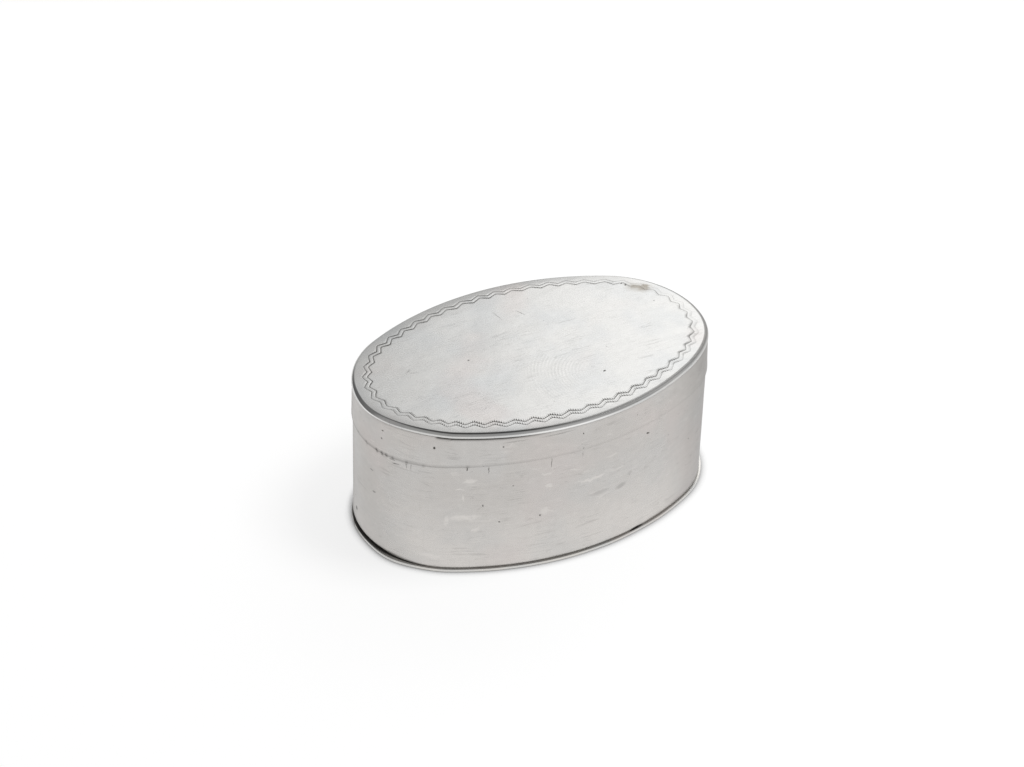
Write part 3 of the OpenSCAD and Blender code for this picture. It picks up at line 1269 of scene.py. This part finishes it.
@dataclass
class Base:
    """Base cover: a thin plate with a rounded edge that stands out past the wall."""

    oval: Oval
    count: int = 720
    edge_round: float = 0.1
    top_round: float = 0.08
    bends: tuple[Bell, ...] = (Bell(40.5, 3.0, 0.3), Bell(25.5, 4.0, -0.2))
    soiled: Bell = Bell(30.5, 3.5)
    # painted shade on the flange's top along the wedge gap at the left end
    gap: Bell = Bell(32.3, 4.8, 1.0, 4)
    knock: float = 0.02
    rubbed_and_highlight: float = 0.3
    # painted shade in the slit under the wall, and on the lowest edge of the rounding beside the floor
    slit_shade: float = 0.9
    under_shade: float = 0.15

    def __post_init__(self) -> None:
        """Takes the heights and the overhang from the CAD frame."""
        low, high = solid("base_plate")
        self.low, self.high = float(low[2]), float(high[2])
        self.out = float(high[0]) - self.oval.half_length

    def plate(self, material: bpy.types.Material) -> bpy.types.Object:
        """Builds the plate.

        Args:
            material: Its finish.

        Returns:
            The piece.
        """
        columns = self.oval.columns(self.count)
        shell = Shell()
        rings = []
        r = self.edge_round
        section = [(-8.0, self.low), (-4.0, self.low), (-1.5, self.low)]
        section += fillet((self.out - r, self.low + r), r, 270, 360, 6)
        section += fillet((self.out - self.top_round, self.high - self.top_round), self.top_round, 0, 90, 4)
        section += [(grow, self.high) for grow in (0.16, 0.07, 0.0, -0.06, -0.6, -1.2, -4.0, -8.0)]
        outline = columns.at(0.0, 0.0)
        knock = self.knock * (1 + ripples(outline, 6.0, 41))
        soiled = self.soiled.at(columns) * (0.65 + 0.3 * ripples(outline, 1.2, 42))
        bent = piled(self.bends, columns)
        gap = self.gap.at(columns)
        for grow, height in section:
            rim = max(0.0, min(1.0, (grow + 0.4) / 0.6))
            points = columns.at(grow + rim * (bent - knock), height)
            # painted shade: the rounding's lowest edge, the plate's top under and beside the wall's edge, and
            # the flange's top in the wedge gap
            under = self.under_shade if height < self.low + 0.05 and grow > -1 else 0.0
            slit = 0.0
            if height > self.high - 0.02 and grow > -1.3:
                near = 0.15 if grow < 0.02 else 0.0
                slit = self.slit_shade if grow < -0.01 else self.slit_shade * gap + near * (1 - gap)
            flange = 1.0 if grow > 0.05 and height > self.low + 0.6 * r else 0.0
            dirt_and_shade = (soiled - self.rubbed_and_highlight * (soiled < 0.1)) * flange + under
            dirt_and_shade = np.maximum(dirt_and_shade, slit)
            rings.append(shell.ring(points, points[:, :2], 0.0, np.clip(dirt_and_shade, -1, 1)))
        shell.cap(rings[0], np.array([0.0, 0.0, self.low]), True)
        shell.loft(rings)
        shell.cap(rings[-1], np.array([0.0, 0.0, self.high]), False)
        return shell.piece("base_cover", material)

    def build(self, material: bpy.types.Material) -> None:
        """Builds and mounts the base cover.

        Args:
            material: Its finish.
        """
        mount(self.plate(material), "base", "silver", "base_plate")


@dataclass
class RaspBurrs:
    """Ragged crowns of torn metal round the rasp's holes, made by Geometry Nodes."""

    oval: Oval
    hole_pitch: float = 2.6
    hole_radius: float = 0.4
    lip: float = 0.1
    burr_radius: float = 0.75
    border: float = 1.5
    bead: float = 0.055
    ragged: float = 0.07
    seed: int = 7

    def __post_init__(self) -> None:
        """Takes the rasp's outline and the top of its burrs from the CAD frame."""
        low, high = solid("rasp")
        self.out = float(high[0]) - self.oval.half_length
        self.top = float(high[2])

    def places(self) -> np.ndarray:
        """Middles of the holes: staggered rows inside a plain border.

        Returns:
            One point for each hole, at the burrs' upper edge.
        """
        field_edge = self.out - self.border - self.burr_radius
        row_pitch = self.hole_pitch * math.sin(math.radians(60))
        oval = self.oval
        rows = int((oval.half_width + field_edge) / row_pitch)
        meet = math.atan2(oval.side_centre, oval.end_centre)
        found = []
        for row in range(-rows, rows + 1):
            y = row * row_pitch
            if abs(y) > (oval.end_radius + field_edge) * math.sin(meet):
                chord = math.sqrt((oval.side_radius + field_edge) ** 2 - (abs(y) + oval.side_centre) ** 2)
            else:
                chord = oval.end_centre + math.sqrt((oval.end_radius + field_edge) ** 2 - y * y)
            shift = 0.0 if row % 2 == 0 else self.hole_pitch / 2
            last = math.floor((chord - shift) / self.hole_pitch)
            first = -last - (1 if shift else 0)
            found += [(shift + i * self.hole_pitch, y, self.top - 0.03) for i in range(first, last + 1)]
        return np.array(found)

    def tree(self) -> tuple[bpy.types.NodeTree, dict[str, str]]:
        """Builds the tree that sets a ragged ring on every point.

        Returns:
            The tree and the identifiers of its named inputs.
        """
        tree = bpy.data.node_groups.new("burr_crowns", "GeometryNodeTree")
        names: dict[str, str] = {}
        tree.interface.new_socket("Geometry", in_out="OUTPUT", socket_type="NodeSocketGeometry")
        for name, kind in (
            ("Geometry", "NodeSocketGeometry"),
            ("Crown radius", "NodeSocketFloat"),
            ("Bead radius", "NodeSocketFloat"),
            ("Raggedness", "NodeSocketFloat"),
            ("Seed", "NodeSocketInt"),
            ("Material", "NodeSocketMaterial"),
        ):
            names[name] = tree.interface.new_socket(name, in_out="INPUT", socket_type=kind).identifier
        graph = Graph(tree)
        group = graph.node("NodeGroupInput").socket.node

        def given(name: str) -> Wire:
            """Named input of the tree."""
            return Wire(graph, group.outputs[name])

        circle = "GeometryNodeCurvePrimitiveCircle"
        ring = graph.node(circle, sockets={"Resolution": 11, "Radius": given("Crown radius")})
        bead = graph.node(circle, sockets={"Resolution": 4, "Radius": given("Bead radius")})
        crown = graph.node("GeometryNodeCurveToMesh", sockets={"Curve": ring, "Profile Curve": bead})
        spin = graph.node(
            "FunctionNodeRandomValue",
            {"data_type": "FLOAT_VECTOR"},
            {"Min": (0.0, 0.0, 0.0), "Max": (0.25, 0.25, 6.28), "Seed": given("Seed")},
        )
        set_on = graph.node(
            "GeometryNodeInstanceOnPoints",
            sockets={"Points": given("Geometry"), "Instance": crown, "Rotation": spin},
        )
        solid_mesh = graph.node("GeometryNodeRealizeInstances", sockets={"Geometry": set_on})
        torn = graph.node(
            "FunctionNodeRandomValue",
            {"data_type": "FLOAT_VECTOR"},
            {"Min": (-0.3, -0.3, -0.2), "Max": (0.3, 0.3, 1.0), "Seed": given("Seed")},
        )
        move = graph.scaled(torn, given("Raggedness"))
        shaped = graph.node("GeometryNodeSetPosition", sockets={"Geometry": solid_mesh, "Offset": move})
        finish = {"Geometry": shaped, "Material": given("Material")}
        dressed = graph.node("GeometryNodeSetMaterial", sockets=finish)
        graph.node("NodeGroupOutput", sockets={"Geometry": dressed})
        return tree, names

    def build(self, material: bpy.types.Material) -> None:
        """Builds and mounts the crowns.

        Args:
            material: Their finish.
        """
        mesh = bpy.data.meshes.new("hole_places")
        mesh.from_pydata((self.places() * MM).tolist(), [], [])
        carrier = placed("hole_places", mesh)
        tree, names = self.tree()
        nodes = carrier.modifiers.new("burr_crowns", "NODES")
        nodes.node_group = tree
        nodes[names["Crown radius"]] = (self.hole_radius + self.lip / 2) * MM
        nodes[names["Bead radius"]] = self.bead * MM
        nodes[names["Raggedness"]] = self.ragged * MM
        nodes[names["Seed"]] = self.seed
        nodes[names["Material"]] = material
        bpy.context.view_layer.update()
        made = bpy.data.meshes.new_from_object(carrier.evaluated_get(bpy.context.evaluated_depsgraph_get()))
        bpy.data.objects.remove(carrier)
        made.name = "rasp_burrs"
        mount(placed(made.name, made), "body", "steel")


@dataclass(frozen=True)
class Studio:
    """Camera, floor, world and lamps; the camera's place was fitted to the photograph's oval."""

    focal: float = 3085.435
    eye: Place = (-170.776, -301.129, 269.202)
    right: Place = (0.881903, -0.470795, 0.024479)
    up: Place = (0.259425, 0.528005, 0.808647)
    sensor: float = 36.0
    floor_size: float = 3.0
    floor_drop: float = 0.00002
    floor_colour: Colour = (0.8, 0.8, 0.8)
    floor_shade: float = 0.3
    floor_glow: float = 0.78
    contact: float = 0.0011
    patch: Place = (0.2, 0.685, 0.7)
    patch_edge: tuple[float, float] = (0.965, 0.99)
    patch_level: float = 0.86
    dark_room: float = 0.72
    dark_left: tuple[float, float] = (0.14, -0.2)
    dark_back: tuple[float, float] = (0.15, 0.5)
    sky_turn: tuple[float, float] = (-0.25, 0.15)
    sky_back: tuple[tuple[float, float], ...] = (
        (0.0, 0.6), (0.1, 0.58), (0.35, 0.6), (0.62, 0.64), (0.84, 0.62), (0.95, 0.1), (1.0, 0.06)
    )
    sky_front: tuple[tuple[float, float], ...] = (
        (0.0, 0.55), (0.3, 0.45), (0.85, 0.42), (0.95, 0.1), (1.0, 0.06)
    )

    def camera(self) -> None:
        """Sets the camera."""
        data = bpy.data.cameras.new("camera")
        data.sensor_width = self.sensor
        data.lens = self.focal * self.sensor / IMAGE_WIDTH
        data.clip_start, data.clip_end = 0.01, 20.0
        made = placed("camera", data)
        right, up = Vector(self.right).normalized(), Vector(self.up).normalized()
        turned = Matrix((right, up, right.cross(up))).transposed().to_4x4()
        made.matrix_world = Matrix.Translation(Vector(self.eye) * MM) @ turned
        bpy.context.scene.camera = made

    def seen(self, graph: Graph) -> Wire:
        """Rays that show the background: those of the camera and those off metal or through glass."""
        kinds = ("Camera", "Glossy", "Transmission")
        rays = [graph.node("ShaderNodeLightPath", out=f"Is {kind} Ray") for kind in kinds]
        return rays[0].at_least(rays[1]).at_least(rays[2])

    def floor(self) -> None:
        """Lays a pale floor: white to the camera, with the shadow, and clear from below."""
        half = self.floor_size / 2
        mesh = bpy.data.meshes.new("floor")
        corners = [(-half, -half, 0), (half, -half, 0), (half, half, 0), (-half, half, 0)]
        mesh.from_pydata([(x, y, z - self.floor_drop) for x, y, z in corners], [], [(0, 1, 2, 3)])
        made, graph = Graph.material("pale_floor")
        plain = graph.node("ShaderNodeBsdfDiffuse", sockets={"Color": (*self.floor_colour, 1.0)})
        shade = (self.floor_shade,) * 3 + (1.0,)
        shaded = graph.node("ShaderNodeBsdfDiffuse", sockets={"Color": shade})
        near = {"Distance": self.contact}
        open_share = graph.node("ShaderNodeAmbientOcclusion", {"samples": 8}, near, "AO")
        camera = graph.node("ShaderNodeLightPath", out="Is Camera Ray")
        strength = (1.0 - camera * (1.0 - open_share * open_share)) * self.floor_glow
        glow = graph.node("ShaderNodeEmission", sockets={"Color": (1.0, 1.0, 1.0, 1.0), "Strength": strength})
        white = graph.node("ShaderNodeAddShader", sockets={0: shaded, 1: glow})
        surface = graph.node("ShaderNodeMixShader", sockets={0: self.seen(graph), 1: plain, 2: white})
        clear = graph.node("ShaderNodeBsdfTransparent")
        back = graph.node("ShaderNodeNewGeometry", out="Backfacing")
        surface = graph.node("ShaderNodeMixShader", sockets={0: back, 1: surface, 2: clear})
        graph.node("ShaderNodeOutputMaterial", sockets={"Surface": surface})
        mesh.materials.append(made)
        piece = placed("floor", mesh)

    def world(self) -> None:
        """Sets a soft studio sky: white to the camera, bright round the horizon and dim overhead."""
        world = bpy.data.worlds.new("studio")
        bpy.context.scene.world = world
        world.use_nodes = True
        graph = Graph(world.node_tree)
        way = graph.node("ShaderNodeTexCoord", out="Generated")
        height = graph.axis(way, "Z")
        sides = []
        for sky in (self.sky_front, self.sky_back):
            stops = [(place, (0.5 * level,) * 3) for place, level in sky]
            sides.append(graph.node("ShaderNodeValToRGB", {"stops": stops}, {"Fac": height}))
        ahead = (-self.eye[0], -self.eye[1], 0.0)
        reach = math.hypot(*ahead)
        along = graph.vector("DOT_PRODUCT", way, tuple(a / reach for a in ahead), out="Value")
        level = graph.mix(along.rise(*self.sky_turn), *sides)
        patch = graph.vector("DOT_PRODUCT", way, self.patch, out="Value").rise(*self.patch_edge)
        level = graph.mix(patch, level, (0.5 * self.patch_level,) * 3)
        dark = graph.axis(way, "X").rise(*self.dark_left) * graph.axis(way, "Y").rise(*self.dark_back)
        level = graph.mix(dark * self.dark_room, level, (0.0, 0.0, 0.0))
        camera = graph.node("ShaderNodeLightPath", out="Is Camera Ray")
        level = graph.mix(camera, level, (0.5, 0.5, 0.5))
        sky = graph.node("ShaderNodeBackground", sockets={"Color": level, "Strength": 2.0})
        graph.node("ShaderNodeOutputWorld", sockets={"Surface": sky})

    def lamp(self, name: str, place: Place, size: float, radiance: float, mirrored: bool = True) -> None:
        """Hangs a square soft lamp that points at the object.

        Args:
            name: Name of the lamp.
            place: Where it hangs, in metres.
            size: Length of its side in metres.
            radiance: Brightness of its face, where 1 is white.
            mirrored: Whether polished metal shows it.
        """
        data = bpy.data.lights.new(name, "AREA")
        data.shape = "SQUARE"
        data.size = size
        data.energy = radiance * math.pi * size * size
        made = placed(name, data)
        made.location = place
        made.visible_glossy = mirrored
        made.rotation_euler = (-Vector(place)).to_track_quat("-Z", "Y").to_euler()

    def build(self) -> None:
        """Sets up the whole studio."""
        bpy.context.scene.view_settings.view_transform = "Standard"
        self.camera()
        self.floor()
        self.world()
        self.lamp("back_box", (0.336, 0.2725, 0.265), 0.34, 0.97)
        self.lamp("side_key", (0.25, -0.12, 0.62), 0.24, 10.0, mirrored=False)


Row = tuple[float, float, float, float, float, float]
LID_TOP = 23.2


def spots(level: float, through: float, *rows: Row) -> tuple[Mark, ...]:
    """Makes marks from rows.

    Args:
        level: Place of all the marks on the third axis.
        through: Their reach on the third axis.
        rows: Place and reach on the first two axes, turn in degrees and strength.

    Returns:
        The marks.
    """
    return tuple(
        Mark((x, y, level), (wide, tall, through), turn, share) for x, y, wide, tall, turn, share in rows
    )


# The lid's marks lie in plan. Those of the wall and the band lie on the sheet, by the length along the
# outline and the height above the ground.
LID_MARKS = spots(
    LID_TOP, 0.35,
    (19.66, 8.54, 0.22, 0.22, 0.0, 0.9),
    (19.32, 9.16, 0.2, 0.2, 0.0, 0.9),
    (6.7, -8.25, 0.26, 0.2, 30.0, 0.95),
    (-8.8, 2.1, 0.18, 0.18, 0.0, 0.85),
    (-0.35, 9.75, 0.07, 1.3, 12.0, 0.5),
    (3.0, 8.9, 0.07, 1.2, 24.0, 0.45),
    (-17.4, 3.4, 0.9, 0.1, 38.0, 0.35),
    (-16.9, 2.7, 0.9, 0.1, -22.0, 0.3),
)
LID_STAINS = spots(
    LID_TOP, 0.8,
    (21.1, 7.2, 2.8, 1.6, -35.0, 0.4),
    (21.7, 6.8, 1.5, 0.8, -35.0, 0.6),
    (20.6, 7.6, 1.1, 0.6, -20.0, 0.55),
    (22.3, 7.1, 0.8, 0.4, -40.0, 0.65),
)
CHATTER = (Chatter((6.7, -8.25, 0.0), 0.47, 1.5, 11.5),)
WALL_MARKS = spots(
    0.0, 9.0,
    (31.9, 3.2, 0.5, 0.5, 0.0, 0.9),
    (36.7, 13.2, 0.6, 0.12, 4.0, 0.55),
    (37.2, 9.7, 0.5, 0.22, 10.0, 0.5),
    (41.3, 16.6, 0.9, 0.1, 6.0, 0.7),
    (40.7, 17.05, 0.7, 0.08, 3.0, 0.6),
    (42.9, 16.9, 0.08, 0.8, 3.0, 0.5),
    (43.6, 16.9, 0.07, 0.9, -2.0, 0.4),
    (51.3, 17.5, 0.13, 0.4, -12.0, 0.8),
    (54.2, 17.2, 0.08, 0.9, 2.0, 0.6),
    (62.9, 17.1, 0.08, 1.1, 0.0, 0.65),
    (67.5, 17.3, 0.06, 0.6, 0.0, 0.4),
    (57.6, 14.2, 0.14, 0.14, 0.0, 0.6),
    (53.5, 11.2, 0.11, 0.3, 0.0, 0.75),
    (55.8, 8.2, 0.16, 0.14, 0.0, 0.7),
    (61.5, 8.4, 0.18, 0.18, 0.0, 0.75),
    (70.5, 9.7, 2.2, 0.45, 2.0, 0.12),
    (74.0, 9.4, 1.2, 0.55, 8.0, 0.2),
    (75.5, 11.0, 0.6, 0.4, 20.0, 0.12),
    (78.5, 16.4, 0.42, 0.18, -22.0, 0.85),
    (85.0, 16.3, 0.5, 0.12, -10.0, 0.25),
    (88.0, 10.2, 0.13, 0.2, 0.0, 0.8),
)
WALL_SCUFFS = spots(
    0.0, 9.0,
    (51.0, 9.2, 2.8, 0.6, 4.0, 0.9),
    (48.6, 8.6, 0.4, 1.3, -12.0, 0.8),
    (51.6, 15.4, 1.2, 0.35, 8.0, 0.8),
    (50.4, 13.9, 0.9, 0.2, 0.0, 0.7),
    (50.8, 12.5, 0.3, 0.8, 0.0, 0.7),
    (52.5, 7.0, 0.9, 0.5, 20.0, 0.8),
    (69.0, 12.5, 2.8, 0.4, -2.0, 1.0),
    (62.7, 13.1, 0.8, 0.4, 0.0, 0.8),
    (62.3, 15.3, 1.0, 0.22, 5.0, 0.6),
    (66.4, 14.9, 1.2, 0.25, -8.0, 0.6),
    (72.3, 15.4, 1.3, 0.22, 0.0, 0.5),
    (62.2, 9.0, 0.8, 0.8, 0.0, 0.5),
    (46.5, 2.4, 2.0, 0.5, 0.0, 0.7),
)
BAND_MARKS = spots(
    0.0, 9.0,
    (38.9, 21.0, 0.3, 0.14, 10.0, 0.8),
    (38.8, 19.7, 0.2, 0.18, 0.0, 0.7),
    (46.8, 20.7, 0.22, 0.22, 0.0, 0.95),
    (56.1, 20.9, 0.18, 0.16, 0.0, 0.85),
    (67.4, 20.9, 0.1, 0.24, 0.0, 0.75),
    (67.5, 18.4, 0.16, 0.14, 0.0, 0.4),
    (76.2, 20.6, 0.1, 0.2, 0.0, 0.35),
    (57.8, 21.6, 2.4, 0.14, 3.0, 0.2),
    (63.6, 21.8, 3.2, 0.12, 2.0, 0.25),
)
LID_SILVER: Colour = (0.622, 0.618, 0.604)
LID_COOL: Colour = (0.545, 0.56, 0.568)
SIDE_SILVER: Colour = (0.592, 0.57, 0.547)
SIDE_COOL: Colour = (0.55, 0.545, 0.535)
# painted shade for the wall and band: lighter by 9 % near the foot, darker by 9 % from 15 mm up
SIDE_HEIGHT_SHADE = (1.0, 15.0, 0.09)
BASE_SILVER: Colour = (0.655, 0.635, 0.605)
WORN_STEEL: Colour = (0.3, 0.3, 0.31)
BARE_STEEL: Colour = (0.62, 0.62, 0.63)
INNER_SILVER = ("mouth_bezel", "rasp_seat")


def dress(nodes: Sequence[str], material: bpy.types.Material) -> None:
    """Gives CAD nodes that stay a better material.

    Args:
        nodes: Names of the nodes.
        material: The material.
    """
    for name in nodes:
        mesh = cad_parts[name].data
        mesh.materials.clear()
        mesh.materials.append(material)
        log.info("%s: CAD node dressed with %s", name, material.name)


def main() -> None:
    """Builds the studio, the box and its finishes."""
    logging.basicConfig(level=logging.INFO, format="%(name)s: %(message)s")
    Studio().build()
    low, high = solid("body_wall")
    oval = Oval(float(high[0] - low[0]) / 2, float(high[1] - low[1]) / 2)
    plate = Silver(
        "lid_silver",
        Lay.PLAN,
        colour=LID_SILVER,
        cool=LID_COOL,
        marks=LID_MARKS,
        stains=LID_STAINS,
        chatter=CHATTER,
        mottle=0.08,
        brushed=0.05,
        smear=0.15,
        hairline=0.000001,
    ).material()
    side = Silver(
        "band_silver",
        Lay.SHEET,
        colour=SIDE_SILVER,
        cool=SIDE_COOL,
        height_shade=SIDE_HEIGHT_SHADE,
        marks=BAND_MARKS,
        mottle=0.16,
        brushed=0.12,
        smear=0.24,
    )
    band = side.material()
    wall = replace(side, name="wall_silver", marks=WALL_MARKS, scuffs=WALL_SCUFFS).material()
    cover = Silver(
        "base_silver", Lay.PLAN, colour=BASE_SILVER, mottle=0.16, brushed=0.14, smear=0.3
    ).material()
    # painted shade: the base rim is made nearly black, so the gap under the wall reads dark
    black = Silver("tarnished_silver", Lay.PLAN, roughness=0.45, grime_and_shade=0.6).material()
    dull_and_shade = Silver("dull_silver", Lay.PLAN, roughness=0.42, grime_and_shade=0.12).material()
    steel = Steel("rasp_steel").material()
    worn = Steel("worn_steel", colour=WORN_STEEL, rubbed_and_highlight=BARE_STEEL, roughness=0.34).material()
    Lid(oval).build(plate, band)
    Body(oval).build(wall)
    Base(oval).build(cover)
    dress(["rasp"], steel)
    dress(["base_rim"], black)
    RaspBurrs(oval).build(worn)
    hinges = [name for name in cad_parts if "knuckle" in name or "pin" in name]
    dress([*INNER_SILVER, *hinges], dull_and_shade)


if __name__ == "__main__":
    main()
